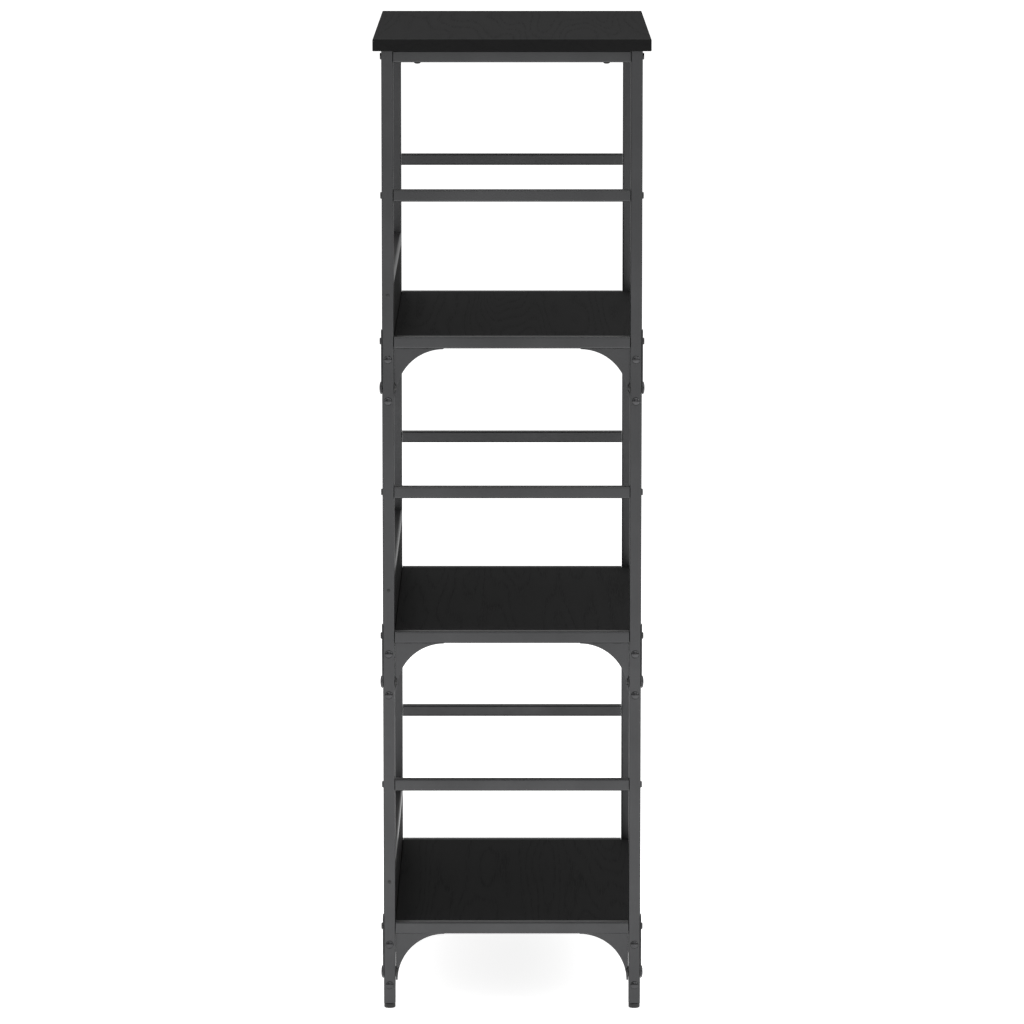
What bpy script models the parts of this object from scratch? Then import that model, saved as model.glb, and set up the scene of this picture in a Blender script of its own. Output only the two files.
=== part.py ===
"""Tall bookcase: dark steel tube frame, three black boards, a top panel and screw-in feet.

Metres, +Z up. The bookcase is 600 long (X), 350 deep (Y) and 1245 high (Z), in mm.
The front is -Y, the back is +Y, and the floor is z = 0.
"""

import math

import bmesh
import bpy

# overall
LENGTH = 0.600
DEPTH = 0.350
HEIGHT = 1.245
BOARD = 0.015
GAP = 0.0003

# tube frame
TUBE = 0.015
WALL = 0.001
TUBE_CORNER = 0.002
FRAME_X = 0.560
FRAME_Y = 0.329
POST_X = FRAME_X / 2 - TUBE / 2
POST_Y = FRAME_Y / 2 - TUBE / 2
POST_FOOT_Z = 0.0068
FRAME_TOP = HEIGHT - BOARD - GAP
CLEAR_X = FRAME_X - 2 * TUBE - 2 * GAP
CLEAR_Y = FRAME_Y - 2 * TUBE - 2 * GAP

# the three tiers, by the underside of their rails, and how far above that the end guard
# bar and the bar along the back stand
TIERS = {"low": 0.0977, "mid": 0.4753, "top": 0.8529}
GUARD_RISE = 0.1862
BACK_BAR_RISE = 0.080

# curved gusset plates under the end rails, and the plates on the outer corners
GUSSET_RADIUS = 0.0602
GUSSET_TIP = 0.0023
GUSSET_LAND = 0.0016
GUSSET_SHEET = 0.002
WELD = 0.0005
ARC_STEPS = 14
PLATE_SHEET = 0.001
PLATE_OVER = 0.023
PLATE_UNDER = 0.058
PLATE_CHAMFER = 0.008
PLATE_INSET = 0.0004

# long rails under the boards, and back bars: bolting flange at each end, and the tabs
# that hold the board
LONG_RAIL_TALL = 0.030
LONG_RAIL_TOP = -0.0001
FLANGE_SHEET = 0.003
FLANGE_WIDTH = 0.011
FLANGE_UNDER = 0.076
BACK_FLANGE_UNDER = 0.0175
TAB_SHEET = 0.0007
TAB_LENGTH = 0.030
TAB_REACH = 0.018
TAB_X = 0.170

# boards, and the low board that stands on the back rail behind each shelf
BOARD_CLEAR = 0.0005
BOARD_FRONT_CLEAR = 0.0002
BOARD_PROUD = 0.0
BOARD_EDGE = 0.0006
STOP_THICK = 0.0144
PANEL_EDGE = 0.001

# levelling feet
FOOT_RADIUS = 0.0074
FOOT_PAD = 0.0063
FOOT_ROUND = 0.0016
STUD_RADIUS = 0.003
STUD_TOP = 0.031
PLUG_HEIGHT = 0.022
PLUG_SIDE = TUBE - 2 * WALL - 2 * GAP
PLUG_BORE = STUD_RADIUS + GAP
PLUG_CORNER = 1.3
ROUND_STEPS = 32

FRONT_BACK = {"front": -1, "back": 1}
LEFT_RIGHT = {"left": -1, "right": 1}

for old in list(bpy.data.objects):
    bpy.data.objects.remove(old, do_unlink=True)


def material(name, colour, metallic, roughness):
    made = bpy.data.materials.new(name)
    made.use_nodes = True
    shader = made.node_tree.nodes["Principled BSDF"]
    shader.inputs["Base Color"].default_value = (*colour, 1.0)
    shader.inputs["Metallic"].default_value = metallic
    shader.inputs["Roughness"].default_value = roughness
    made.diffuse_color = (*colour, 1.0)
    return made


FRAME_PAINT = material("frame_paint", (0.065, 0.065, 0.068), 0.4, 0.45)
BLACK_WOOD = material("black_wood", (0.018, 0.018, 0.018), 0.0, 0.55)
FOOT_PLASTIC = material("foot_plastic", (0.008, 0.008, 0.008), 0.0, 0.5)
PLUG_PLASTIC = material("plug_plastic", (0.02, 0.02, 0.02), 0.0, 0.6)


def add_object(name, bm, finish, place=(0.0, 0.0, 0.0), turn=0.0, smooth=False):
    """Turn a bmesh into a named object, placed and turned about Z."""
    bmesh.ops.recalc_face_normals(bm, faces=bm.faces)
    mesh = bpy.data.meshes.new(name)
    for face in bm.faces:
        face.smooth = smooth
    bm.to_mesh(mesh)
    bm.free()
    mesh.materials.append(finish)
    obj = bpy.data.objects.new(name, mesh)
    obj.location = place
    obj.rotation_euler = (0.0, 0.0, turn)
    bpy.context.scene.collection.objects.link(obj)
    return obj


def rounded_square(side, radius, steps=3):
    """Corner points of a square with rounded corners, anticlockwise from +X."""
    reach = side / 2 - radius
    points = []
    for quarter in range(4):
        cx = reach * (1 if quarter in (0, 3) else -1)
        cy = reach * (1 if quarter in (0, 1) else -1)
        for step in range(steps + 1):
            angle = math.pi / 2 * (quarter + step / steps)
            points.append((cx + radius * math.cos(angle), cy + radius * math.sin(angle)))
    return points


def stretched(points, extra):
    """Outline pulled apart along its second axis, so a square becomes a taller rectangle."""
    return [(x, y + math.copysign(extra / 2, y)) for x, y in points]


def tube_mesh(length, tall=TUBE):
    """Open tube along Z from z = 0 to z = length, square or taller in Y, walls closed at its ends."""
    bm = bmesh.new()
    outer = stretched(rounded_square(TUBE, TUBE_CORNER), tall - TUBE)
    inner = stretched(rounded_square(TUBE - 2 * WALL, TUBE_CORNER - WALL), tall - TUBE)
    rings = []
    for points, z in ((outer, 0.0), (outer, length), (inner, length), (inner, 0.0)):
        rings.append([bm.verts.new((x, y, z)) for x, y in points])
    count = len(outer)
    for start, end in ((0, 1), (1, 2), (2, 3), (3, 0)):
        for i in range(count):
            j = (i + 1) % count
            bm.faces.new((rings[start][i], rings[start][j], rings[end][j], rings[end][i]))
    return bm


def prism(points, low, high, axes):
    """Closed prism: outline points on two axes, pulled along the third from low to high."""
    bm = bmesh.new()
    rings = []
    for level in (low, high):
        ring = []
        for u, v in points:
            spot = [level, level, level]
            spot[axes[0]] = u
            spot[axes[1]] = v
            ring.append(bm.verts.new(spot))
        rings.append(ring)
    bm.faces.new(rings[0])
    bm.faces.new(list(reversed(rings[1])))
    for i in range(len(points)):
        j = (i + 1) % len(points)
        bm.faces.new((rings[0][i], rings[0][j], rings[1][j], rings[1][i]))
    bmesh.ops.recalc_face_normals(bm, faces=bm.faces)
    return bm


def box_points(low_u, high_u, low_v, high_v):
    return [(low_u, low_v), (high_u, low_v), (high_u, high_v), (low_u, high_v)]


def lay_along(bm, axis):
    """Lay a tube built along Z so it runs along X or Y, centred on the origin."""
    top = max(v.co.z for v in bm.verts)
    for v in bm.verts:
        x, y, z = v.co
        z -= top / 2
        v.co = (z, x, y) if axis == "x" else (y, z, x)
    bmesh.ops.recalc_face_normals(bm, faces=bm.faces)
    return bm


def fused(base, extras):
    """Weld extra prisms to a base bmesh and give back one closed bmesh."""
    scene = bpy.context.scene
    objects = []
    for index, bm in enumerate([base, *extras]):
        mesh = bpy.data.meshes.new(f"weld_{index}")
        bm.to_mesh(mesh)
        bm.free()
        obj = bpy.data.objects.new(f"weld_{index}", mesh)
        scene.collection.objects.link(obj)
        objects.append(obj)
    for extra in objects[1:]:
        join = objects[0].modifiers.new("join", "BOOLEAN")
        join.operation = "UNION"
        join.solver = "EXACT"
        join.object = extra
    view = bpy.context.evaluated_depsgraph_get()
    result = bmesh.new()
    result.from_mesh(objects[0].evaluated_get(view).to_mesh())
    for obj in objects:
        bpy.data.objects.remove(obj, do_unlink=True)
    bmesh.ops.remove_doubles(result, verts=result.verts, dist=0.000001)
    return result


def gusset_outline(top, land, steps=ARC_STEPS):
    """Concave gusset in (u, v): u runs inward from the post, v = 0 is the rail underside.

    The arc starts a short straight land below the underside.
    """
    run = GUSSET_RADIUS + GUSSET_TIP
    points = [(0.0, top), (run, top), (run, -land)]
    for step in range(1, steps + 1):
        angle = math.pi / 2 * step / steps
        u = run - GUSSET_RADIUS * math.sin(angle)
        v = -land - GUSSET_RADIUS + GUSSET_RADIUS * math.cos(angle)
        points.append((u, v))
    points.append((0.0, -land - GUSSET_RADIUS))
    return points


def board(name, size, centre, edge):
    """Board with lightly broken edges."""
    bm = bmesh.new()
    bmesh.ops.create_cube(bm, size=1.0)
    for v in bm.verts:
        v.co = (v.co.x * size[0], v.co.y * size[1], v.co.z * size[2])
    bmesh.ops.bevel(
        bm, geom=bm.edges[:], offset=edge, segments=2, profile=0.5, affect="EDGES"
    )
    return add_object(name, bm, BLACK_WOOD, centre)


# posts and the tubes bolted between them at each end
for side, sx in LEFT_RIGHT.items():
    for face, sy in FRONT_BACK.items():
        tube = tube_mesh(FRAME_TOP - POST_FOOT_Z)
        place = (sx * POST_X, sy * POST_Y, POST_FOOT_Z)
        add_object(f"post_{face}_{side}", tube, FRAME_PAINT, place)

    top_bar = lay_along(tube_mesh(CLEAR_Y), "y")
    place = (sx * POST_X, 0.0, FRAME_TOP - TUBE / 2)
    add_object(f"top_end_bar_{side}", top_bar, FRAME_PAINT, place)

    for tier, z in TIERS.items():
        guard = lay_along(tube_mesh(CLEAR_Y), "y")
        place = (sx * POST_X, 0.0, z + GUARD_RISE + TUBE / 2)
        add_object(f"guard_bar_{tier}_{side}", guard, FRAME_PAINT, place)

        plates = []
        for sy in (-1, 1):
            outline = []
            for u, v in gusset_outline(WELD, GUSSET_LAND):
                outline.append((sy * (CLEAR_Y / 2 - u), v - TUBE / 2))
            plates.append(prism(outline, -GUSSET_SHEET / 2, GUSSET_SHEET / 2, (1, 2)))
        rail = fused(lay_along(tube_mesh(CLEAR_Y), "y"), plates)
        place = (sx * POST_X, 0.0, z + TUBE / 2)
        add_object(f"end_rail_{tier}_{side}", rail, FRAME_PAINT, place)



def end_flanges(drop, tube_under):
    """Bolting flanges hanging from both ends of a tube that runs along X."""
    half = CLEAR_X / 2
    made = []
    for sx in (-1, 1):
        low = min(sx * half, sx * (half - FLANGE_SHEET))
        flange = box_points(low, low + FLANGE_SHEET, -drop, -tube_under + WELD)
        made.append(prism(flange, -FLANGE_WIDTH / 2, FLANGE_WIDTH / 2, (0, 2)))
    return made


# long rails along the front and the back, with two tabs under the board
for face, sy in FRONT_BACK.items():
    for tier, z in TIERS.items():
        half_tall = LONG_RAIL_TALL / 2
        centre_z = z + LONG_RAIL_TOP - half_tall
        extras = end_flanges(centre_z - z + FLANGE_UNDER, half_tall)
        for sx in (-1, 1):
            inner = -sy * (TUBE / 2 - 2 * TUBE_CORNER)
            reach = -sy * (TUBE / 2 + TAB_REACH)
            tab = box_points(
                sx * TAB_X - TAB_LENGTH / 2,
                sx * TAB_X + TAB_LENGTH / 2,
                min(inner, reach),
                max(inner, reach),
            )
            extras.append(prism(tab, half_tall - TAB_SHEET, half_tall, (0, 1)))
        rail = fused(lay_along(tube_mesh(CLEAR_X, LONG_RAIL_TALL), "x"), extras)
        add_object(f"long_rail_{tier}_{face}", rail, FRAME_PAINT, (0.0, sy * POST_Y, centre_z))

# bar along the back of each tier, on top of the low back board
for tier, z in TIERS.items():
    drop = BACK_BAR_RISE + TUBE / 2 - BACK_FLANGE_UNDER
    bar = fused(lay_along(tube_mesh(CLEAR_X), "x"), end_flanges(drop, TUBE / 2))
    place = (0.0, POST_Y, z + BACK_BAR_RISE + TUBE / 2)
    add_object(f"back_bar_{tier}", bar, FRAME_PAINT, place)

# plates on the outer corners, across each post and the end of each long rail
for side, sx in LEFT_RIGHT.items():
    for face, sy in FRONT_BACK.items():
        for tier, z in TIERS.items():
            outline = [
                (PLATE_INSET, PLATE_OVER),
                (TUBE, PLATE_OVER),
                (TUBE + PLATE_CHAMFER, TUBE),
                (TUBE + GUSSET_RADIUS + GUSSET_TIP, TUBE),
            ]
            for u, v in gusset_outline(0.0, 0.0)[2:-1]:
                outline.append((TUBE + u, v * PLATE_UNDER / GUSSET_RADIUS))
            outline.append((PLATE_INSET, -PLATE_UNDER))
            points = [(sx * (FRAME_X / 2 - u) - sx * POST_X, v) for u, v in outline]
            bm = prism(points, 0.0, PLATE_SHEET, (0, 2))
            face_y = FRAME_Y / 2 + GAP if sy > 0 else -FRAME_Y / 2 - GAP - PLATE_SHEET
            place = (sx * POST_X, face_y, z)
            add_object(f"corner_plate_{tier}_{face}_{side}", bm, FRAME_PAINT, place)

# boards
board("top_panel", (LENGTH, DEPTH, BOARD), (0.0, 0.0, HEIGHT - BOARD / 2), PANEL_EDGE)
stop_face = POST_Y - STOP_THICK / 2
shelf_front = -FRAME_Y / 2 + BOARD_FRONT_CLEAR
shelf_back = stop_face - BOARD_CLEAR
shelf_size = (FRAME_X - 2 * TUBE - 2 * BOARD_CLEAR, shelf_back - shelf_front, BOARD - 0.0002)
for tier, z in TIERS.items():
    top = z + TUBE + BOARD_PROUD
    shelf_place = (0.0, (shelf_front + shelf_back) / 2, top - shelf_size[2] / 2)
    board(f"shelf_board_{tier}", shelf_size, shelf_place, BOARD_EDGE)
    stop_low = z + LONG_RAIL_TOP + GAP
    stop_high = z + BACK_BAR_RISE - GAP
    stop_size = (CLEAR_X - 2 * FLANGE_SHEET - 2 * GAP, STOP_THICK, stop_high - stop_low)
    stop_place = (0.0, POST_Y, (stop_low + stop_high) / 2)
    board(f"back_stop_{tier}", stop_size, stop_place, BOARD_EDGE)


def plug_mesh():
    """Square plug with a round bore through it, from z = 0 up."""
    bm = bmesh.new()
    half = PLUG_SIDE / 2
    outer = []
    inner = []
    for i in range(ROUND_STEPS):
        angle = 2 * math.pi * (i + 0.5) / ROUND_STEPS
        c = math.cos(angle)
        s = math.sin(angle)
        stretch = min(half / max(abs(c), abs(s)), half * PLUG_CORNER)
        outer.append((c * stretch, s * stretch))
        inner.append((PLUG_BORE * c, PLUG_BORE * s))
    rings = []
    for points, z in ((outer, 0.0), (outer, PLUG_HEIGHT), (inner, PLUG_HEIGHT), (inner, 0.0)):
        rings.append([bm.verts.new((x, y, z)) for x, y in points])
    for start, end in ((0, 1), (1, 2), (2, 3), (3, 0)):
        for i in range(ROUND_STEPS):
            j = (i + 1) % ROUND_STEPS
            bm.faces.new((rings[start][i], rings[start][j], rings[end][j], rings[end][i]))
    return bm


def foot_mesh():
    """Round pad with a stud above it, turned from one profile."""
    profile = [(0.0, 0.0)]
    for step in range(5):
        angle = math.pi / 2 * step / 4
        r = FOOT_RADIUS - FOOT_ROUND + FOOT_ROUND * math.sin(angle)
        profile.append((r, FOOT_ROUND - FOOT_ROUND * math.cos(angle)))
    profile.append((FOOT_RADIUS, FOOT_PAD - 0.0005))
    profile.append((FOOT_RADIUS - 0.0005, FOOT_PAD))
    profile.append((STUD_RADIUS, FOOT_PAD))
    profile.append((STUD_RADIUS, STUD_TOP - 0.0005))
    profile.append((STUD_RADIUS - 0.0005, STUD_TOP))
    profile.append((0.0, STUD_TOP))
    bm = bmesh.new()
    verts = [bm.verts.new((r, 0.0, z)) for r, z in profile]
    edges = [bm.edges.new((a, b)) for a, b in zip(verts, verts[1:])]
    bmesh.ops.spin(
        bm,
        geom=verts + edges,
        cent=(0.0, 0.0, 0.0),
        axis=(0.0, 0.0, 1.0),
        angle=2 * math.pi,
        steps=ROUND_STEPS,
        use_merge=True,
    )
    bmesh.ops.remove_doubles(bm, verts=bm.verts, dist=0.000001)
    return bm


# levelling feet and the plugs they screw into
for side, sx in LEFT_RIGHT.items():
    for face, sy in FRONT_BACK.items():
        spot = (sx * POST_X, sy * POST_Y)
        plug_place = (*spot, POST_FOOT_Z + GAP)
        add_object(f"foot_plug_{face}_{side}", plug_mesh(), PLUG_PLASTIC, plug_place)
        foot_place = (*spot, 0.0)
        add_object(f"foot_{face}_{side}", foot_mesh(), FOOT_PLASTIC, foot_place, smooth=True)
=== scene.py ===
# %% [markdown]
# # A steel tube bookcase with black boards
# The bookcase is a kit: square steel tubes bolted into two end frames, joined by long rails, with
# boards let in between them and a larger board on top. This script dresses a finished CAD model,
# whose sizes and places are fixed. Every piece below is built where the CAD part is, takes over
# from it, and rides on the same body, so the feet still screw in and out.

# %% Load the fixed frame
import math

import bmesh
import bpy
from mathutils import Matrix, Vector


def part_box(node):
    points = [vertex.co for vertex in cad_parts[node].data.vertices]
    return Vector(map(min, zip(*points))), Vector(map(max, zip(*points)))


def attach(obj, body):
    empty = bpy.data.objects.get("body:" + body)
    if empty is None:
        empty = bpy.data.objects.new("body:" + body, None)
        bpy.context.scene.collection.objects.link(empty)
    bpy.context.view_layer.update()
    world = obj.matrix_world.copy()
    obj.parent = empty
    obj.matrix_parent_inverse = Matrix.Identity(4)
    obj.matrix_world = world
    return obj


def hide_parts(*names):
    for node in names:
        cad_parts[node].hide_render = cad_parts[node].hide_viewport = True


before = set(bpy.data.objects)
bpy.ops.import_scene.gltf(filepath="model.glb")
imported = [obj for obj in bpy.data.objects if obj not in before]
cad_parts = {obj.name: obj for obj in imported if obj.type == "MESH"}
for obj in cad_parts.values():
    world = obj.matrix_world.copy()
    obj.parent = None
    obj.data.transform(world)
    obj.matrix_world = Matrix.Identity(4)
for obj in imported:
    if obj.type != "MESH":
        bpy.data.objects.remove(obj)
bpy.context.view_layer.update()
MM = 0.001
TIERS = ("low", "mid", "top")
SIDES = {"left": -1, "right": 1}
FACES = {"front": -1, "back": 1}

# %% [markdown]
# ## Sizes, read off the frame
# A fitter would measure the tube once and work everything else out from it.

# %% Measure the tube, the posts and the rails
post_low, post_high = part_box("post_front_left")
TUBE = post_high.x - post_low.x
WALL = 1.0 * MM
TUBE_CORNER = 2.0 * MM
POST_X = -(post_low.x + post_high.x) / 2
POST_Y = -(post_low.y + post_high.y) / 2
OUTER_X = POST_X + TUBE / 2
OUTER_Y = POST_Y + TUBE / 2
INNER_Y = POST_Y - TUBE / 2
rail_under = {t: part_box(f"end_rail_{t}_left")[1].z - TUBE for t in TIERS}
guard_middle = {t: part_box(f"guard_bar_{t}_left")[1].z - TUBE / 2 for t in TIERS}
top_bar_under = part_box("top_end_bar_left")[0].z
print(f"tube {TUBE / MM:.1f} mm, rails at", [round(z, 4) for z in rail_under.values()])

# %% [markdown]
# ## Colour on screen
# The Standard view shows a white surface as white and a dark grey as the grey it is mixed to, which
# suits a plain studio picture better than a film-like curve.

# %% Plain colour
bpy.context.scene.view_settings.view_transform = "Standard"

# %% [markdown]
# ## Material helper
# Every finish starts from one Principled shader. What is the same all over is set on the shader
# itself; only what changes over the surface comes from nodes.

# %% A material and its node helpers
class Finish:
    """One Principled material, with short ways to add nodes and links."""

    def __init__(self, name, roughness, metallic=0.0, specular=0.5):
        self.material = bpy.data.materials.new(name)
        self.material.use_nodes = True
        self.tree = self.material.node_tree
        self.shader = self.tree.nodes["Principled BSDF"]
        self.shader.inputs["Roughness"].default_value = roughness
        self.shader.inputs["Metallic"].default_value = metallic
        self.shader.inputs["Specular IOR Level"].default_value = specular

    def node(self, kind, **settings):
        made = self.tree.nodes.new(kind)
        for key, value in settings.items():
            setattr(made, key, value)
        return made

    def link(self, source, target):
        self.tree.links.new(source, target)

    def place(self, scale=(1.0, 1.0, 1.0)):
        """Object coordinates, stretched by scale."""
        where = self.node("ShaderNodeTexCoord")
        mapping = self.node("ShaderNodeMapping")
        mapping.inputs["Scale"].default_value = scale
        self.link(where.outputs["Object"], mapping.inputs["Vector"])
        return mapping.outputs["Vector"]

    def noise(self, where, scale, detail=3.0, rough=0.5, distortion=0.0):
        made = self.node("ShaderNodeTexNoise")
        made.inputs["Scale"].default_value = scale
        made.inputs["Detail"].default_value = detail
        made.inputs["Roughness"].default_value = rough
        made.inputs["Distortion"].default_value = distortion
        self.link(where, made.inputs["Vector"])
        return made.outputs["Fac"]

    def ramp(self, factor, stops):
        """Colour ramp from (position, colour) pairs."""
        made = self.node("ShaderNodeValToRGB")
        first, last = made.color_ramp.elements
        first.position, last.position = stops[0][0], stops[-1][0]
        first.color = (*stops[0][1], 1.0)
        last.color = (*stops[-1][1], 1.0)
        for position, colour in stops[1:-1]:
            made.color_ramp.elements.new(position).color = (*colour, 1.0)
        self.link(factor, made.inputs["Fac"])
        return made.outputs["Color"]

    def spread(self, factor, low, high):
        """Stretch a 0 to 1 factor to run from low to high."""
        made = self.node("ShaderNodeMapRange")
        made.inputs["To Min"].default_value = low
        made.inputs["To Max"].default_value = high
        self.link(factor, made.inputs["Value"])
        return made.outputs["Result"]

    def maths(self, operation, a, b):
        made = self.node("ShaderNodeMath", operation=operation)
        for socket, value in zip(made.inputs, (a, b)):
            if isinstance(value, (int, float)):
                socket.default_value = value
            else:
                self.link(value, socket)
        return made.outputs["Value"]

    def bump(self, height, distance, strength=1.0, under=None):
        made = self.node("ShaderNodeBump")
        made.inputs["Distance"].default_value = distance
        made.inputs["Strength"].default_value = strength
        self.link(height, made.inputs["Height"])
        if under is not None:
            self.link(under, made.inputs["Normal"])
        return made.outputs["Normal"]


def grey(value):
    return (value, value, value)


# %% [markdown]
# ## Powder coat
# The tubes are steel with a baked dark grey powder coat that has metal flake in it: faces turned to
# the light shine grey and the others go dark. A dark, fully metallic shader does that. The powder
# melts into a skin with a fine pebbled surface, called orange peel, about a millimetre from bump to
# bump. It can be modelled or bumped; at this size a bump is right. Slow patches of colour and gloss
# keep long tubes from looking like plastic.

# %% The frame's powder coat
PATCHES_PER_METRE = 9.0
GLOSS_SPOTS_PER_METRE = 160.0
PEEL_PER_METRE = 900.0
PEEL_DEPTH = 0.06 * MM
GLOSS_CHANGE = 0.05


def powder_coat(name, tone, roughness):
    paint = Finish(name, roughness, metallic=1.0)
    where = paint.place()
    patches = paint.noise(where, PATCHES_PER_METRE, detail=4.0)
    low = tuple(c * 0.9 for c in tone)
    high = tuple(c * 1.1 for c in tone)
    paint.link(paint.ramp(patches, [(0.3, low), (0.7, high)]), paint.shader.inputs["Base Color"])
    gloss = paint.noise(where, GLOSS_SPOTS_PER_METRE, detail=2.0)
    changing = paint.spread(gloss, roughness - GLOSS_CHANGE, roughness + GLOSS_CHANGE)
    paint.link(changing, paint.shader.inputs["Roughness"])
    peel = paint.noise(where, PEEL_PER_METRE, detail=2.0)
    paint.link(paint.bump(peel, PEEL_DEPTH, 0.5), paint.shader.inputs["Normal"])
    return paint.material


frame_paint = powder_coat("frame_paint", (0.059, 0.0593, 0.0607), 0.32)
print("made", frame_paint.name)

# %% [markdown]
# ## Black wood-grain board
# The boards are chipboard with a black paper face printed and pressed with an open oak grain. The
# grain has two parts: arched rings, where the saw met the growth rings at a slant, and fine pores
# that run with the board. Contour lines of a smooth, stretched noise give the arches: where the
# noise crosses a round value a line appears, just as a map's contours do. Short stretched noise
# gives the pores. The grain runs along X.

# %% The board's face and its edge tape, whose darker tone is painted shade
BOARD_ROUGHNESS = 0.7
BOARD_SHINE = 0.06
RING_STRETCH = (0.7, 9.0, 9.0)
PORE_STRETCH = (28.0, 900.0, 900.0)
PATCH_STRETCH = (3.0, 11.0, 11.0)
RINGS_ACROSS = 24.0
PORE_DEPTH = 0.05 * MM


def black_board(name, face_tone, arch_strength):
    wood = Finish(name, BOARD_ROUGHNESS, specular=BOARD_SHINE)
    slow = wood.noise(wood.place(RING_STRETCH), 1.0, detail=2.0, rough=0.45)
    rings = wood.maths("FRACT", wood.maths("MULTIPLY", slow, RINGS_ACROSS), 0.0)
    ring_stops = [
        (0.0, grey(0.0)),
        (0.42, grey(0.25)),
        (0.62, grey(1.0)),
        (0.78, grey(0.3)),
        (1.0, grey(0.0)),
    ]
    ring_line = wood.ramp(rings, ring_stops)
    pores = wood.noise(wood.place(PORE_STRETCH), 1.0, detail=3.0, rough=0.6)
    pore_line = wood.ramp(pores, [(0.42, grey(0.0)), (0.62, grey(1.0))])
    cut = wood.maths("MULTIPLY", ring_line, pore_line)
    patches = wood.noise(wood.place(PATCH_STRETCH), 1.0, detail=3.0)
    light = wood.spread(patches, 0.9, 1.1)
    dark = wood.maths("MULTIPLY", cut, arch_strength)
    tone = wood.maths("MULTIPLY", light, wood.maths("SUBTRACT", 1.0, dark))
    mix = wood.node("ShaderNodeMix", data_type="RGBA", blend_type="MULTIPLY")
    mix.inputs["Factor"].default_value = 1.0
    mix.inputs["A"].default_value = (*face_tone, 1.0)
    wood.link(tone, mix.inputs["B"])
    wood.link(mix.outputs["Result"], wood.shader.inputs["Base Color"])
    wood.link(wood.spread(cut, 0.68, 0.76), wood.shader.inputs["Roughness"])
    sunk = wood.maths("MULTIPLY", cut, -1.0)
    wood.link(wood.bump(sunk, PORE_DEPTH, 0.4), wood.shader.inputs["Normal"])
    return wood.material


board_face = black_board("black_wood_face", (0.0102, 0.0102, 0.0103), 0.25)
# The tape is a real strip with fainter arches, but its darker tone is painted shade: the upright
# edges are the same black as the faces and are only darker where the overhead light misses them.
shaded_edge_tape = black_board("black_wood_edge_tape_painted_shade", (0.0072, 0.0072, 0.0073), 0.2)
print("made", board_face.name, shaded_edge_tape.name)

# %% [markdown]
# ## Fasteners, plastic and zinc
# The visible bolt heads are steel with the same dark look as the frame but smoother, so they catch
# a small highlight. Caps and feet are black moulded plastic, faintly rough. The feet's studs are
# zinc plated, a bright bluish metal.

# %% Small finishes
def plain_finish(name, tone, roughness, metallic, grain=500.0):
    finish = Finish(name, roughness, metallic)
    where = finish.place()
    speckle = finish.noise(where, grain, detail=2.0)
    low = tuple(c * 0.85 for c in tone)
    high = tuple(c * 1.15 for c in tone)
    finish.link(finish.ramp(speckle, [(0.3, low), (0.7, high)]), finish.shader.inputs["Base Color"])
    finish.link(
        finish.spread(speckle, roughness * 0.85, roughness * 1.15), finish.shader.inputs["Roughness"]
    )
    finish.link(finish.bump(speckle, 0.02 * MM, 0.4), finish.shader.inputs["Normal"])
    return finish.material


bolt_steel = plain_finish("bolt_steel", (0.06, 0.06, 0.062), 0.25, 1.0)
cap_black = plain_finish("cap_black", (0.006, 0.006, 0.006), 0.4, 0.0)
foot_black = plain_finish("foot_black", (0.007, 0.007, 0.007), 0.5, 0.0, grain=900.0)
zinc = plain_finish("zinc_plate", (0.62, 0.63, 0.66), 0.3, 1.0, grain=1200.0)
print("made", bolt_steel.name, cap_black.name, foot_black.name, zinc.name)

# %% [markdown]
# ## From bmesh to piece
# A finished piece has smooth rounds and crisp flats. Edges sharper than 35 degrees are marked
# sharp, and a Weighted Normal modifier lets the large flat faces win at every corner, so a rounded
# tube doesn't look pillowed.

# %% Finish a piece
SHARP_ANGLE = math.radians(35)


def merged(*parts):
    """Several bmeshes as one. The first is kept and returned."""
    whole = parts[0]
    for part in parts[1:]:
        mesh = bpy.data.meshes.new("part")
        part.to_mesh(mesh)
        part.free()
        whole.from_mesh(mesh)
        bpy.data.meshes.remove(mesh)
    return whole


def moved(bm, matrix):
    bmesh.ops.transform(bm, matrix=matrix, verts=bm.verts)
    return bm


def make_piece(name, bm, materials, body="frame", stands_for=()):
    bmesh.ops.recalc_face_normals(bm, faces=bm.faces)
    for face in bm.faces:
        face.smooth = True
    for edge in bm.edges:
        edge.smooth = edge.calc_face_angle(math.pi) < SHARP_ANGLE
    mesh = bpy.data.meshes.new(name)
    bm.to_mesh(mesh)
    bm.free()
    for finish in materials:
        mesh.materials.append(finish)
    obj = bpy.data.objects.new(name, mesh)
    bpy.context.scene.collection.objects.link(obj)
    even = obj.modifiers.new("even_shading", "WEIGHTED_NORMAL")
    even.keep_sharp = True
    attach(obj, body)
    if stands_for:
        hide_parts(*stands_for)
    return obj


# %% [markdown]
# ## Square tube
# Box section tube is rolled from strip and welded, so its corners are round inside and out. One
# cube makes it: stretch it, round the four long edges with a bevel, inset both ends by the wall
# thickness, then open the ends and bridge them through the middle.

# %% A hollow square tube
def square_tube(length, tall=TUBE):
    """Tube along Z, centred on the origin, open at both ends. Tall is its size along X."""
    bm = bmesh.new()
    bmesh.ops.create_cube(bm, size=1.0)
    bmesh.ops.scale(bm, vec=(tall, TUBE, length), verts=bm.verts)
    long_edges = [e for e in bm.edges if abs(e.verts[0].co.z - e.verts[1].co.z) > length / 2]
    bmesh.ops.bevel(
        bm,
        geom=long_edges,
        offset=TUBE_CORNER,
        segments=5,
        profile=0.5,
        affect="EDGES",
        material=-1,
    )
    ends = [f for f in bm.faces if abs(f.normal.z) > 0.9]
    bmesh.ops.inset_region(bm, faces=ends, thickness=WALL)
    rim = [e for f in ends for e in f.edges]
    bmesh.ops.delete(bm, geom=ends, context="FACES_ONLY")
    bmesh.ops.bridge_loops(bm, edges=rim)
    return bm


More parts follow.
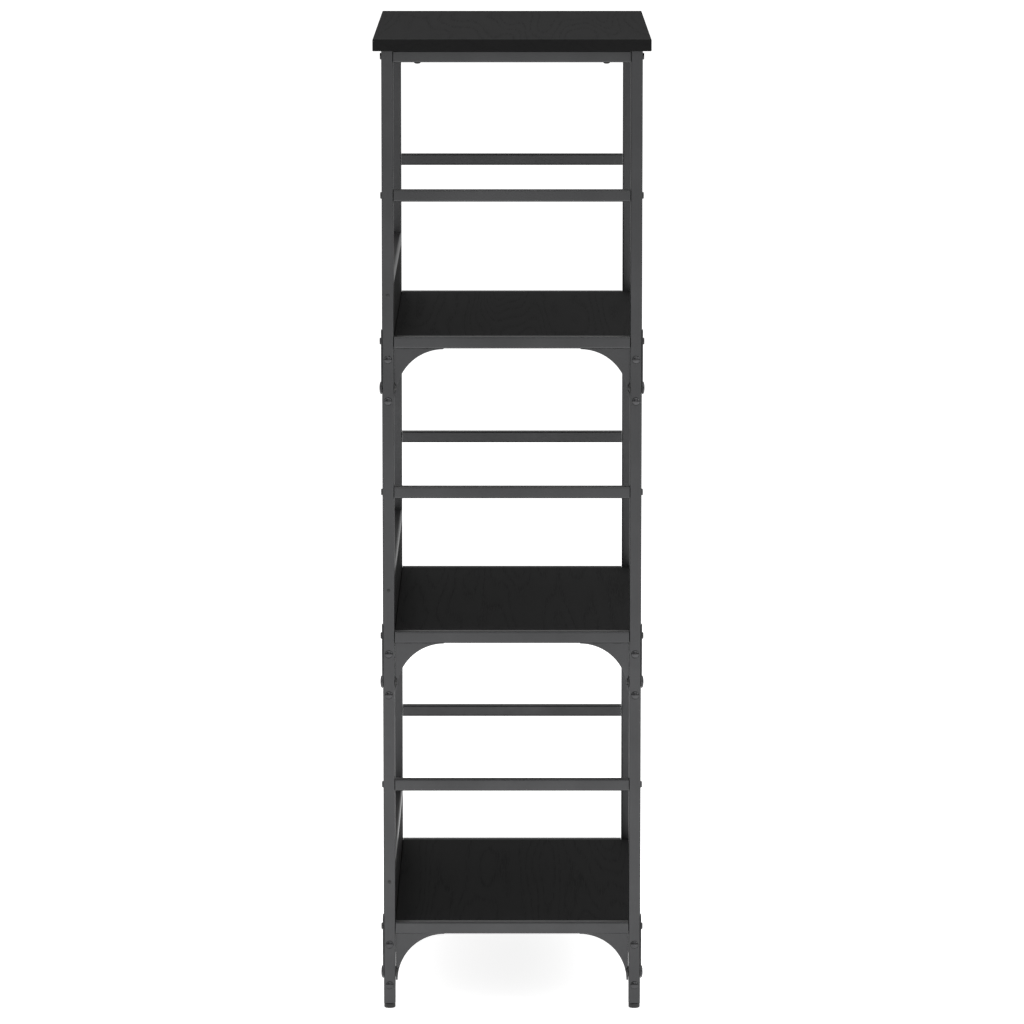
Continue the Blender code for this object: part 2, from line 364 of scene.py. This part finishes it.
ALONG_X = Matrix.Rotation(math.pi / 2, 4, "Y")
ALONG_Y = Matrix.Rotation(math.pi / 2, 4, "X")


def tube_piece(node, axis):
    """Bmesh tube that fills a CAD tube's box along the given axis."""
    low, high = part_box(node)
    size = high - low
    centre = (low + high) / 2
    if axis == "z":
        return moved(square_tube(size.z), Matrix.Translation(centre))
    turn = ALONG_X if axis == "x" else ALONG_Y
    centre.z = high.z - TUBE / 2
    length = size.x if axis == "x" else size.y
    return moved(square_tube(length), Matrix.Translation(centre) @ turn)


for side in SIDES:
    for face in FACES:
        node = f"post_{face}_{side}"
        make_piece(f"{node}_tube", tube_piece(node, "z"), [frame_paint],
                   stands_for=[node])
    for node in [f"top_end_bar_{side}", *(f"guard_bar_{t}_{side}" for t in TIERS)]:
        make_piece(f"{node}_tube", tube_piece(node, "y"), [frame_paint],
                   stands_for=[node])

# %% [markdown]
# ## Curved sheet
# Under each rail sits a gusset: a flat piece of sheet with one corner cut away on a quarter circle.
# A press would stamp it from strip. Here the arc is spun from a single vertex, the straight sides
# join it up, the loop is filled, and the face is pulled out to the sheet's thickness. A fine bevel
# breaks the edges as the paint does.

# %% A sheet with a quarter-round cut
ARC_STEPS = 20
SHEET_BREAK = 0.25 * MM


def cut_sheet(before, arc_start, arc_centre, after, thickness):
    """Sheet in the XZ plane, y from 0 to thickness. The arc turns a quarter about arc_centre."""
    bm = bmesh.new()
    start = bm.verts.new((arc_start[0], 0.0, arc_start[1]))
    spun = bmesh.ops.spin(
        bm,
        geom=[start],
        cent=(arc_centre[0], 0.0, arc_centre[1]),
        axis=(0.0, 1.0, 0.0),
        angle=-math.pi / 2,
        steps=ARC_STEPS,
        use_duplicate=False,
    )
    end = next(v for v in spun["geom_last"] if isinstance(v, bmesh.types.BMVert))
    chain = [end]
    chain += [bm.verts.new((x, 0.0, z)) for x, z in after]
    chain += [bm.verts.new((x, 0.0, z)) for x, z in before]
    chain.append(start)
    for a, b in zip(chain, chain[1:]):
        bm.edges.new((a, b))
    filled = bmesh.ops.contextual_create(bm, geom=bm.edges[:])
    pulled = bmesh.ops.extrude_face_region(bm, geom=filled["faces"])
    new_verts = [v for v in pulled["geom"] if isinstance(v, bmesh.types.BMVert)]
    bmesh.ops.translate(bm, vec=(0.0, thickness, 0.0), verts=new_verts)
    rim = [e for e in bm.edges if abs(e.verts[0].co.y - e.verts[1].co.y) < thickness / 2]
    bmesh.ops.bevel(
        bm,
        geom=rim,
        offset=SHEET_BREAK,
        segments=2,
        profile=0.5,
        affect="EDGES",
        material=-1,
    )
    return bm


# %% [markdown]
# ## Weld beads
# The gussets are held to their rail by short runs of weld. A bead is a low ridge with ripples where
# the arc paused. A cylinder does it: cut it into rings, swell every other ring a little, and shrink
# the ends.

# %% A rippled weld bead
BEAD_RADIUS = 1.1 * MM


def weld_bead(length, ripples=9):
    """Bead along X, centred on the origin."""
    bm = bmesh.new()
    bmesh.ops.create_cone(
        bm, cap_ends=True, segments=10, radius1=BEAD_RADIUS, radius2=BEAD_RADIUS, depth=length
    )
    sides = [e for e in bm.edges if abs(e.verts[0].co.z - e.verts[1].co.z) > length / 2]
    bmesh.ops.subdivide_edges(bm, edges=sides, cuts=ripples * 2 - 1, use_grid_fill=False)
    for v in bm.verts:
        along = (v.co.z / length + 0.5) * ripples
        swell = 1.0 + 0.16 * math.cos(2 * math.pi * along)
        taper = min(1.0, 0.35 + 4.0 * (0.5 - abs(v.co.z / length)))
        v.co.x *= swell * taper
        v.co.y *= swell * taper
    return moved(bm, ALONG_X)


# %% [markdown]
# ## End rails
# Each tier's end rail is one welded part: the tube, a gusset towards each post, and the beads that
# hold them. The gusset is set back in the middle of the tube.

# %% End rails with their gussets
GUSSET_RADIUS = 60.2 * MM
GUSSET_TIP = 2.3 * MM
GUSSET_LAND = 1.6 * MM
GUSSET_SHEET = 2.0 * MM
GUSSET_RUN = GUSSET_RADIUS + GUSSET_TIP
SINK = 0.3 * MM


def end_gusset():
    """Gusset with its square corner at the origin, running along +X and down -Z, centred in Y."""
    sheet = cut_sheet(
        before=[(0.0, SINK), (GUSSET_RUN, SINK)],
        arc_start=(GUSSET_RUN, -GUSSET_LAND),
        arc_centre=(GUSSET_RUN, -GUSSET_LAND - GUSSET_RADIUS),
        after=[(0.0, -GUSSET_LAND - GUSSET_RADIUS)],
        thickness=GUSSET_SHEET,
    )
    moved(sheet, Matrix.Translation((0.0, -GUSSET_SHEET / 2, 0.0)))
    beads = []
    for start in (8 * MM, 34 * MM):
        for across in (-1, 1):
            place = Matrix.Translation((start + 7 * MM, across * GUSSET_SHEET / 2, 0.0))
            beads.append(moved(weld_bead(14 * MM), place))
    return merged(sheet, *beads)


for side, sx in SIDES.items():
    for tier in TIERS:
        node = f"end_rail_{tier}_{side}"
        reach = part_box(node)[1].y
        parts = [tube_piece(node, "y")]
        for sy in (-1, 1):
            turn = Matrix.Rotation(-sy * math.pi / 2, 4, "Z")
            place = Matrix.Translation((sx * POST_X, sy * reach, rail_under[tier]))
            parts.append(moved(end_gusset(), place @ turn))
        make_piece(f"{node}_welded", merged(*parts), [frame_paint],
                   stands_for=[node])
print("end rails done, gusset radius", GUSSET_RADIUS / MM, "mm")

# %% [markdown]
# ## Long rails and back bars
# A long rail runs along the bookcase between two posts, under the board. It is a taller tube, and a
# flat bar is welded on end below it at each end, so the two bolts from the outside of the post hold
# tube and bar. Two thin tabs reach in under the board and hold it. The bar along the back of each
# tier is square and has the same flanges. Flat bar and tabs are cubes pulled to size with their
# edges broken.

# %% Long rails and back bars
LONG_RAIL_TALL = 30.0 * MM
FLANGE_SHEET = 3.0 * MM
FLANGE_WIDTH = 11.0 * MM
FLANGE_EDGE = 0.4 * MM
TAB_EDGE = 0.2 * MM
TAB_SHEET = 0.7 * MM
TAB_LENGTH = 30.0 * MM
TAB_REACH = 18.0 * MM
TAB_X = 170.0 * MM


def flat_bar(low, high, edge, segments=2):
    """Bar between two corners with broken edges."""
    low, high = Vector(low), Vector(high)
    bm = bmesh.new()
    bmesh.ops.create_cube(bm, size=1.0)
    bmesh.ops.scale(bm, vec=high - low, verts=bm.verts)
    bmesh.ops.translate(bm, vec=(low + high) / 2, verts=bm.verts)
    bmesh.ops.bevel(
        bm,
        geom=bm.edges[:],
        offset=edge,
        segments=segments,
        profile=0.5,
        affect="EDGES",
        material=-1,
    )
    return bm


def flanged_tube(node, tall):
    """Tube along X with a flange hanging from each end, down to the CAD part's lowest point."""
    low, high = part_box(node)
    middle_y = POST_Y if high.y > 0 else -POST_Y
    centre = Vector(((low.x + high.x) / 2, middle_y, high.z - tall / 2))
    parts = [moved(square_tube(high.x - low.x, tall), Matrix.Translation(centre) @ ALONG_X)]
    under = high.z - tall
    for end in (-1, 1):
        outside = end * high.x
        inside = end * (high.x - FLANGE_SHEET)
        left, right = sorted((outside, inside))
        parts.append(flat_bar(
            (left, middle_y - FLANGE_WIDTH / 2, low.z),
            (right, middle_y + FLANGE_WIDTH / 2, under + SINK),
            FLANGE_EDGE,
        ))
        turn = Matrix.Rotation(math.pi / 2, 4, "Z")
        seam = Matrix.Translation((inside, middle_y, under)) @ turn
        parts.append(moved(weld_bead(FLANGE_WIDTH * 0.9, ripples=7), seam))
    return parts


for face, sy in FACES.items():
    for tier in TIERS:
        node = f"long_rail_{tier}_{face}"
        rail_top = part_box(node)[1].z
        parts = flanged_tube(node, LONG_RAIL_TALL)
        for end in (-1, 1):
            near, far = sorted((sy * (INNER_Y + 2 * TUBE_CORNER), sy * (INNER_Y - TAB_REACH)))
            parts.append(flat_bar(
                (end * TAB_X - TAB_LENGTH / 2, near, rail_top - TAB_SHEET),
                (end * TAB_X + TAB_LENGTH / 2, far, rail_top),
                TAB_EDGE,
            ))
        make_piece(f"{node}_welded", merged(*parts), [frame_paint],
                   stands_for=[node])
for tier in TIERS:
    node = f"back_bar_{tier}"
    make_piece(f"{node}_welded", merged(*flanged_tube(node, TUBE)), [frame_paint],
               stands_for=[node])
print("long rails 6, back bars 3")

# %% [markdown]
# ## Corner plates
# On the front and the back a thin plate covers each crossing of post and rail. It follows the same
# curve as the gusset, with a cut corner above the rail. The curve is the same spun arc, squeezed a
# little in height.

# %% Corner plates
PLATE_OVER = 23.0 * MM
PLATE_CHAMFER = 8.0 * MM
PLATE_INSET = 0.4 * MM
plate_low, plate_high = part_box("corner_plate_low_front_left")
PLATE_SHEET = plate_high.y - plate_low.y
PLATE_UNDER = rail_under["low"] - plate_low.z
PLATE_FACE_Y = -plate_low.y


def corner_plate():
    """Plate in the XZ plane: x runs inward from the post's outer face, z from the rail underside."""
    run = TUBE + GUSSET_RUN
    sheet = cut_sheet(
        before=[
            (PLATE_INSET, PLATE_OVER),
            (TUBE, PLATE_OVER),
            (TUBE + PLATE_CHAMFER, TUBE),
            (run, TUBE),
        ],
        arc_start=(run, 0.0),
        arc_centre=(run, -GUSSET_RADIUS),
        after=[(PLATE_INSET, -GUSSET_RADIUS)],
        thickness=PLATE_SHEET,
    )
    lower = [v for v in sheet.verts if v.co.z < 0]
    bmesh.ops.scale(sheet, vec=(1.0, 1.0, PLATE_UNDER / GUSSET_RADIUS), verts=lower)
    return sheet


for side, sx in SIDES.items():
    for face, sy in FACES.items():
        for tier in TIERS:
            node = f"corner_plate_{tier}_{face}_{side}"
            near_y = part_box(node)[0].y
            flip = Matrix.Scale(-sx, 4, (1, 0, 0))
            place = Matrix.Translation((sx * OUTER_X, near_y, rail_under[tier]))
            make_piece(f"{node}_sheet", moved(corner_plate(), place @ flip), [frame_paint],
                       stands_for=[node])
print(f"corner plates 12, {PLATE_SHEET / MM:.1f} mm thick, {PLATE_UNDER / MM:.0f} mm below the rail")

# %% [markdown]
# ## Boards
# Each board is cut square, its edges are taped, and the tape is trimmed with a small round. The
# faces and the tape are two materials on one mesh: whatever looks along the board's thin way is a
# face, and the rest gets the tape. The tape is real, but its darker tone is painted shade on the
# upright edges. The low board along the back of each shelf stands on its edge.

# %% Boards
def board_piece(node, edge):
    low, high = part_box(node)
    size = high - low
    thin = 2 if size.z < size.y else 1
    bm = flat_bar(low, high, edge, segments=4)
    for face in bm.faces:
        # Side faces get the darker tape, which paints shade on the board's upright edges.
        face.material_index = 1 if abs(face.normal[thin]) < 0.3 else 0
    return make_piece(f"{node}_taped", bm, [board_face, shaded_edge_tape],
                      stands_for=[node])


board_piece("top_panel", 1.0 * MM)
for tier in TIERS:
    board_piece(f"shelf_board_{tier}", 0.6 * MM)
    board_piece(f"back_stop_{tier}", 0.6 * MM)
print("top panel,", len(TIERS), "shelf boards and as many back boards")

# %% [markdown]
# ## Turned fasteners
# Bolt heads, caps and feet are round, so each comes from one profile spun about its axis, as on a
# lathe. The profile is a chain of points from the axis outwards. The head sits on z = 0 and is
# closed underneath, and is then turned to face the way its screw goes in.

# %% Spun profiles
ROUND_STEPS = 32


def turned(profile, steps=ROUND_STEPS):
    """Solid of revolution about Z from (radius, z) points that start and end on the axis."""
    bm = bmesh.new()
    verts = [bm.verts.new((r, 0.0, z)) for r, z in profile]
    edges = [bm.edges.new(pair) for pair in zip(verts, verts[1:])]
    bmesh.ops.spin(
        bm,
        geom=verts + edges,
        cent=(0.0, 0.0, 0.0),
        axis=(0.0, 0.0, 1.0),
        angle=2 * math.pi,
        steps=steps,
        use_merge=True,
    )
    bmesh.ops.remove_doubles(bm, verts=bm.verts, dist=0.002 * MM)
    bmesh.ops.recalc_face_normals(bm, faces=bm.faces)
    return bm


def dome_profile(radius, rim, height, steps=9):
    """A head with a short upright rim and a dome above it."""
    points = [(0.0, 0.0), (radius - 0.15 * MM, 0.0), (radius, 0.15 * MM)]
    for step in range(steps + 1):
        angle = math.pi / 2 * step / steps
        points.append((radius * math.cos(angle), rim + (height - rim) * math.sin(angle)))
    points[-1] = (0.0, height)
    return points


def facing(direction, spot):
    """Matrix that turns +Z to the direction and moves the origin to the spot."""
    turn = Vector((0, 0, 1)).rotation_difference(Vector(direction)).to_matrix().to_4x4()
    return Matrix.Translation(spot) @ turn


print("profiles ready")

# %% [markdown]
# ## Dome bolts on the ends
# Two dome-headed bolts go through each post. The upper one ends in a plug inside the long rail; the
# lower one goes through the flange and a hex nut holds it. The nut is a cylinder with only six
# sides, and a bevel on its end rims gives the chamfer that every nut has.

# %% Dome bolts and their nuts
BOLT_RADIUS = 5.1 * MM
BOLT_HEIGHT = 3.0 * MM
BOLT_DROPS = (14.3 * MM, 67.3 * MM)
NUT_RADIUS = 5.3 * MM
NUT_HEIGHT = 4.6 * MM
NUT_BOLT_RADIUS = 2.9 * MM
NUT_CHAMFER = 0.5 * MM
TIP_SHOWS = 1.2 * MM
TIP_CHAMFER = 0.4 * MM


def hex_nut(radius, height, bolt_radius):
    """Nut standing on z = 0 with its bolt's end showing above it."""
    nut = bmesh.new()
    bmesh.ops.create_cone(
        nut, cap_ends=True, segments=6, radius1=radius, radius2=radius, depth=height
    )
    bmesh.ops.translate(nut, vec=(0.0, 0.0, height / 2), verts=nut.verts)
    rims = [e for e in nut.edges if abs(e.verts[0].co.z - e.verts[1].co.z) < height / 2]
    bmesh.ops.bevel(
        nut, geom=rims, offset=NUT_CHAMFER, segments=2, profile=0.5, affect="EDGES", material=-1
    )
    tip = height + TIP_SHOWS
    end = turned([
        (0.0, height / 2),
        (bolt_radius, height / 2),
        (bolt_radius, tip - TIP_CHAMFER),
        (bolt_radius - TIP_CHAMFER, tip),
        (0.0, tip),
    ], steps=20)
    return merged(nut, end)


flange_face_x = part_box("long_rail_low_front")[1].x - FLANGE_SHEET
for side, sx in SIDES.items():
    for face, sy in FACES.items():
        for tier in TIERS:
            heads = []
            for drop in BOLT_DROPS:
                z = rail_under[tier] - drop
                y = sy * POST_Y
                head = turned(dome_profile(BOLT_RADIUS, 0.35 * MM, BOLT_HEIGHT))
                heads.append(moved(head, facing((sx, 0, 0), (sx * OUTER_X, y, z))))
            nut = hex_nut(NUT_RADIUS, NUT_HEIGHT, NUT_BOLT_RADIUS)
            nut_place = facing((-sx, 0, 0), (sx * flange_face_x, y, z))
            corner = f"{tier}_{face}_{side}"
            make_piece(f"dome_bolts_{corner}", merged(*heads), [bolt_steel])
            make_piece(f"flange_nut_{corner}", moved(nut, nut_place), [zinc])
print("dome bolts:", 2 * 12)

# %% [markdown]
# ## Caps and wide domes on the front and back
# A bolt holds each end bar, and its head hides under a small black cap on the post's face. Below
# each rail a wide, low dome sits on the corner plate, with its nut on the inner face of the post.

# %% Caps, wide domes and inner nuts
CAP_RADIUS = 4.25 * MM
CAP_HEIGHT = 1.8 * MM
DOME_RADIUS = 8.0 * MM
DOME_HEIGHT = 2.3 * MM
DOME_DROP = 50.7 * MM
RAIL_CAP_RISE = 8.9 * MM
INNER_NUT_RADIUS = 6.9 * MM
INNER_NUT_HEIGHT = 3.0 * MM


def cap(direction, spot):
    profile = [
        (0.0, 0.0),
        (CAP_RADIUS, 0.0),
        (CAP_RADIUS, 0.7 * CAP_HEIGHT),
        (CAP_RADIUS - 0.25 * MM, 0.9 * CAP_HEIGHT),
        (CAP_RADIUS - 0.8 * MM, CAP_HEIGHT),
        (0.0, CAP_HEIGHT),
    ]
    return moved(turned(profile, steps=28), facing(direction, spot))


def inner_nut(direction, spot):
    profile = [
        (0.0, 0.0),
        (INNER_NUT_RADIUS, 0.0),
        (INNER_NUT_RADIUS, 0.9 * MM),
        (INNER_NUT_RADIUS - 0.3 * MM, 1.2 * MM),
        (INNER_NUT_RADIUS - 1.9 * MM, 1.3 * MM),
        (INNER_NUT_RADIUS - 2.6 * MM, INNER_NUT_HEIGHT - 0.3 * MM),
        (INNER_NUT_RADIUS - 3.0 * MM, INNER_NUT_HEIGHT),
        (0.0, INNER_NUT_HEIGHT),
    ]
    return moved(turned(profile, steps=28), facing(direction, spot))


cap_count = 0
for side, sx in SIDES.items():
    for face, sy in FACES.items():
        x = sx * POST_X
        caps = [cap((0, sy, 0), (x, sy * OUTER_Y, top_bar_under + TUBE / 2))]
        for tier in TIERS:
            caps.append(cap((0, sy, 0), (x, sy * OUTER_Y, guard_middle[tier])))
            rail_z = rail_under[tier] + RAIL_CAP_RISE
            caps.append(cap((0, sy, 0), (x, sy * PLATE_FACE_Y, rail_z)))
            z = rail_under[tier] - DOME_DROP
            wide = turned(dome_profile(DOME_RADIUS, 0.3 * MM, DOME_HEIGHT))
            wide = moved(wide, facing((0, sy, 0), (x, sy * PLATE_FACE_Y, z)))
            corner = f"{tier}_{face}_{side}"
            make_piece(f"wide_dome_{corner}", wide, [bolt_steel])
            nut = inner_nut((0, -sy, 0), (x, sy * INNER_Y, z))
            make_piece(f"inner_nut_{corner}", nut, [cap_black])
        cap_count += len(caps)
        make_piece(f"bolt_caps_{face}_{side}", merged(*caps), [cap_black])
print("caps:", cap_count, "wide domes: 12")

# %% [markdown]
# ## Small screws
# Small dark screws hold the back bars, seen on the ends of the back posts. Four more go up through
# the top bars into the top panel, and one through each tab into its board. Each is a pan head with
# a cross cut into it.

# %% Pan-head screws
def pan_screw(radius, height, direction, spot):
    """Pan head with a cross-shaped recess pressed into it."""
    head = turned(dome_profile(radius, 0.45 * height, height, steps=6), steps=24)
    cross = bmesh.new()
    for turn in (0.0, math.pi / 2):
        slot = flat_bar(
            (-0.55 * radius, -0.1 * radius, 0.55 * height),
            (0.55 * radius, 0.1 * radius, height * 1.004),
            0.04 * radius,
            segments=1,
        )
        cross = merged(cross, moved(slot, Matrix.Rotation(turn, 4, "Z")))
    for face in cross.faces:
        face.material_index = 1
    return moved(merged(head, cross), facing(direction, spot))


BACK_SCREW_RISE = 67.6 * MM
PANEL_SCREW_Y = 119.0 * MM
for side, sx in SIDES.items():
    screws = []
    for tier in TIERS:
        z = rail_under[tier] + BACK_SCREW_RISE
        screws.append(pan_screw(2.3 * MM, 0.8 * MM, (sx, 0, 0), (sx * OUTER_X, POST_Y, z)))
    make_piece(f"back_bar_screws_{side}", merged(*screws), [cap_black, cap_black])
    screws = []
    for sy in (-1, 1):
        spot = (sx * POST_X, sy * PANEL_SCREW_Y, top_bar_under)
        screws.append(pan_screw(4.0 * MM, 2.0 * MM, (0, 0, -1), spot))
    make_piece(f"panel_screws_{side}", merged(*screws), [cap_black, cap_black])
for tier in TIERS:
    screws = []
    tab_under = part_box(f"long_rail_{tier}_front")[1].z - TAB_SHEET
    for sx in (-1, 1):
        for sy in (-1, 1):
            spot = (sx * TAB_X, sy * (INNER_Y - 0.55 * TAB_REACH), tab_under)
            screws.append(pan_screw(3.0 * MM, 1.5 * MM, (0, 0, -1), spot))
    make_piece(f"tab_screws_{tier}", merged(*screws), [cap_black, cap_black])
print("screws: 6 back bar, 4 panel, 12 tab")

# %% [markdown]
# ## Levelling feet
# Each foot is a black pad moulded round a zinc-plated M6 stud, and screws into a plastic plug in the
# end of the post. The pad is turned, with grip ribs round its edge. The thread is real, because it
# shows when the foot is screwed out: a small triangle is spun round the stud while it climbs by one
# pitch each turn.

# %% Feet
foot_low, foot_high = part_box("foot_front_left")
FOOT_RADIUS = (foot_high.x - foot_low.x) / 2
FOOT_PAD = 6.3 * MM
FOOT_ROUND = 1.6 * MM
STUD_RADIUS = 3.0 * MM
THREAD_PITCH = 1.0 * MM
THREAD_DEPTH = 0.55 * MM
THREAD_STEPS = 20
stud_top = foot_high.z


def foot_pad():
    profile = [(0.0, 0.0)]
    for step in range(7):
        angle = math.pi / 2 * step / 6
        profile.append((
            FOOT_RADIUS - FOOT_ROUND + FOOT_ROUND * math.sin(angle),
            FOOT_ROUND - FOOT_ROUND * math.cos(angle),
        ))
    profile += [
        (FOOT_RADIUS, FOOT_PAD - 0.9 * MM),
        (FOOT_RADIUS - 0.2 * MM, FOOT_PAD - 0.4 * MM),
        (FOOT_RADIUS - 0.8 * MM, FOOT_PAD),
        (STUD_RADIUS + 0.6 * MM, FOOT_PAD),
        (0.0, FOOT_PAD),
    ]
    pad = turned(profile, steps=96)
    for v in pad.verts:
        around = math.atan2(v.co.y, v.co.x)
        upright = FOOT_ROUND < v.co.z < FOOT_PAD - 0.5 * MM
        if upright and math.hypot(v.co.x, v.co.y) > FOOT_RADIUS - 0.1 * MM:
            groove = 1.0 - 0.018 * (0.5 + 0.5 * math.cos(24 * around))
            v.co.x *= groove
            v.co.y *= groove
    return pad


def threaded_stud():
    core = STUD_RADIUS - THREAD_DEPTH
    rod = turned([
        (0.0, FOOT_PAD - 1.0 * MM),
        (core, FOOT_PAD - 1.0 * MM),
        (core, stud_top - 0.6 * MM),
        (core - 0.6 * MM, stud_top),
        (0.0, stud_top),
    ], steps=24)
    ridge = bmesh.new()
    turns = int((stud_top - FOOT_PAD - 2.0 * MM) / THREAD_PITCH)
    start = FOOT_PAD + 0.5 * MM
    half = 0.45 * THREAD_PITCH
    corners = [
        ridge.verts.new((core - 0.1 * MM, 0.0, start - half)),
        ridge.verts.new((STUD_RADIUS, 0.0, start)),
        ridge.verts.new((core - 0.1 * MM, 0.0, start + half)),
    ]
    loop = [ridge.edges.new((corners[i], corners[i - 1])) for i in range(3)]
    bmesh.ops.spin(
        ridge,
        geom=corners + loop,
        cent=(0.0, 0.0, 0.0),
        axis=(0.0, 0.0, 1.0),
        dvec=(0.0, 0.0, THREAD_PITCH / THREAD_STEPS),
        angle=2 * math.pi * turns,
        steps=THREAD_STEPS * turns,
    )
    open_ends = [e for e in ridge.edges if e.is_boundary]
    bmesh.ops.holes_fill(ridge, edges=open_ends, sides=3)
    bmesh.ops.recalc_face_normals(ridge, faces=ridge.faces)
    return merged(rod, ridge)


for side, sx in SIDES.items():
    for face, sy in FACES.items():
        place = Matrix.Translation((sx * POST_X, sy * POST_Y, 0.0))
        node = f"foot_{face}_{side}"
        make_piece(f"{node}_pad", moved(foot_pad(), place), [foot_black], body=node,
                   stands_for=[node])
        make_piece(f"{node}_stud", moved(threaded_stud(), place), [zinc], body=node)
print("feet 4, stud reaches", round(stud_top / MM, 1), "mm")

# %% [markdown]
# ## Plugs in the post ends
# The plug is a square block with a round hole through it. The outer walls are a bevelled cube with
# its ends taken off; circles make the hole's two rims; bridges join rim to rim.

# %% Plugs
def threaded_plug(node):
    low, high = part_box(node)
    size = high - low
    bm = bmesh.new()
    bmesh.ops.create_cube(bm, size=1.0)
    bmesh.ops.scale(bm, vec=size, verts=bm.verts)
    long_edges = [e for e in bm.edges if abs(e.verts[0].co.z - e.verts[1].co.z) > size.z / 2]
    bmesh.ops.bevel(
        bm,
        geom=long_edges,
        offset=1.2 * MM,
        segments=5,
        profile=0.5,
        affect="EDGES",
        material=-1,
    )
    ends = [f for f in bm.faces if abs(f.normal.z) > 0.9]
    bmesh.ops.delete(bm, geom=ends, context="FACES_ONLY")
    outer = {s: [e for e in bm.edges if e.is_boundary and e.verts[0].co.z * s > 0] for s in (-1, 1)}
    hole = {}
    for s in (-1, 1):
        ring = bmesh.ops.create_circle(
            bm,
            segments=24,
            radius=STUD_RADIUS + 0.3 * MM,
            matrix=Matrix.Translation((0, 0, s * size.z / 2)),
        )
        hole[s] = list({e for v in ring["verts"] for e in v.link_edges})
        bmesh.ops.bridge_loops(bm, edges=outer[s] + hole[s])
    bmesh.ops.bridge_loops(bm, edges=hole[-1] + hole[1])
    return moved(bm, Matrix.Translation((low + high) / 2))


for side in SIDES:
    for face in FACES:
        node = f"foot_plug_{face}_{side}"
        make_piece(f"{node}_bored", threaded_plug(node), [foot_black],
                   stands_for=[node])
print("plugs 4")

# %% [markdown]
# ## Floor, light and camera
# The floor is like a studio's light table: a pale sheet lit from below, as white as the
# surround, so the feet hardly cast a shadow. The light it gives the bookcase is a separate matter:
# strong on the near side, where the upright faces mirror it, and weak beyond the far end, which keeps
# the tubes' inner sides dark. The surround looks white too but gives only a third of that light. Four
# softboxes do the rest: one overhead, one at the near end, one at the front and one at the back.

# %% Floor
FLOOR_HALF = 60.0
GLOW_SEEN = 0.85
GLOW_NEAR_SIDE = 1.0
GLOW_FAR_SIDE = 0.1
floor_mesh = bpy.data.meshes.new("floor")
ground = bmesh.new()
bmesh.ops.create_grid(ground, x_segments=1, y_segments=1, size=FLOOR_HALF)
ground.to_mesh(floor_mesh)
ground.free()
floor = bpy.data.objects.new("floor", floor_mesh)
bpy.context.scene.collection.objects.link(floor)
pale = Finish("pale_floor", 0.9, specular=0.0)
mottle = pale.noise(pale.place(), 3.0)
pale.link(
    pale.ramp(mottle, [(0.0, grey(0.88)), (1.0, grey(0.92))]), pale.shader.inputs["Base Color"]
)
across = pale.node("ShaderNodeSeparateXYZ")
pale.link(pale.place(), across.inputs["Vector"])
glow = pale.node("ShaderNodeMapRange")
glow.inputs["From Min"].default_value = -1.0
glow.inputs["From Max"].default_value = 1.5
glow.inputs["To Min"].default_value = GLOW_NEAR_SIDE
glow.inputs["To Max"].default_value = GLOW_FAR_SIDE
pale.link(across.outputs["X"], glow.inputs["Value"])
seen = pale.node("ShaderNodeLightPath")
shown = pale.node("ShaderNodeMapRange")
shown.inputs["To Max"].default_value = GLOW_SEEN
pale.link(seen.outputs["Is Camera Ray"], shown.inputs["Value"])
pale.link(glow.outputs["Result"], shown.inputs["To Min"])
pale.link(shown.outputs["Result"], pale.shader.inputs["Emission Strength"])
pale.shader.inputs["Emission Color"].default_value = (1.0, 1.0, 1.0, 1.0)
floor_mesh.materials.append(pale.material)

# %% Surround and softboxes
SURROUND_LIGHT = 0.35
SURROUND_SEEN = 1.05
world = bpy.data.worlds.new("surround")
bpy.context.scene.world = world
world.use_nodes = True
surround = world.node_tree.nodes["Background"]
surround.inputs["Color"].default_value = (1.0, 1.0, 1.0, 1.0)
path = world.node_tree.nodes.new("ShaderNodeLightPath")
level = world.node_tree.nodes.new("ShaderNodeMapRange")
level.inputs["To Min"].default_value = SURROUND_LIGHT
level.inputs["To Max"].default_value = SURROUND_SEEN
world.node_tree.links.new(path.outputs["Is Camera Ray"], level.inputs["Value"])
world.node_tree.links.new(level.outputs["Result"], surround.inputs["Strength"])


MIDDLE = Vector((0.0, 0.0, 0.62))


def softbox(name, place, size, watts):
    lamp = bpy.data.lights.new(name, "AREA")
    lamp.shape = "RECTANGLE"
    lamp.size, lamp.size_y = size
    lamp.energy = watts
    obj = bpy.data.objects.new(name, lamp)
    obj.location = place
    aim = MIDDLE - Vector(place)
    obj.rotation_euler = aim.to_track_quat("-Z", "Y").to_euler()
    obj.visible_camera = False
    bpy.context.scene.collection.objects.link(obj)


softbox("overhead_softbox", (-0.6, 0.0, 4.0), (4.0, 4.0), 90.0)
softbox("near_end_softbox", (-4.2, -0.8, 2.6), (2.6, 2.6), 20.0)
softbox("front_softbox", (-0.6, -3.4, 2.8), (3.4, 2.6), 75.0)
softbox("back_softbox", (-0.6, 3.6, 2.6), (3.4, 2.6), 35.0)

# %% Camera
CAMERA_DOWN = 8.16
camera_data = bpy.data.cameras.new("camera")
camera_data.sensor_width = 36.0
camera_data.lens = 212.2
camera_data.clip_end = 200.0
camera = bpy.data.objects.new("camera", camera_data)
camera.location = (-7.866, 0.0, 1.732)
camera.rotation_euler = (math.radians(90.0 - CAMERA_DOWN), 0.0, -math.pi / 2)
bpy.context.scene.collection.objects.link(camera)
bpy.context.scene.camera = camera

# %% Finish
bpy.context.view_layer.update()
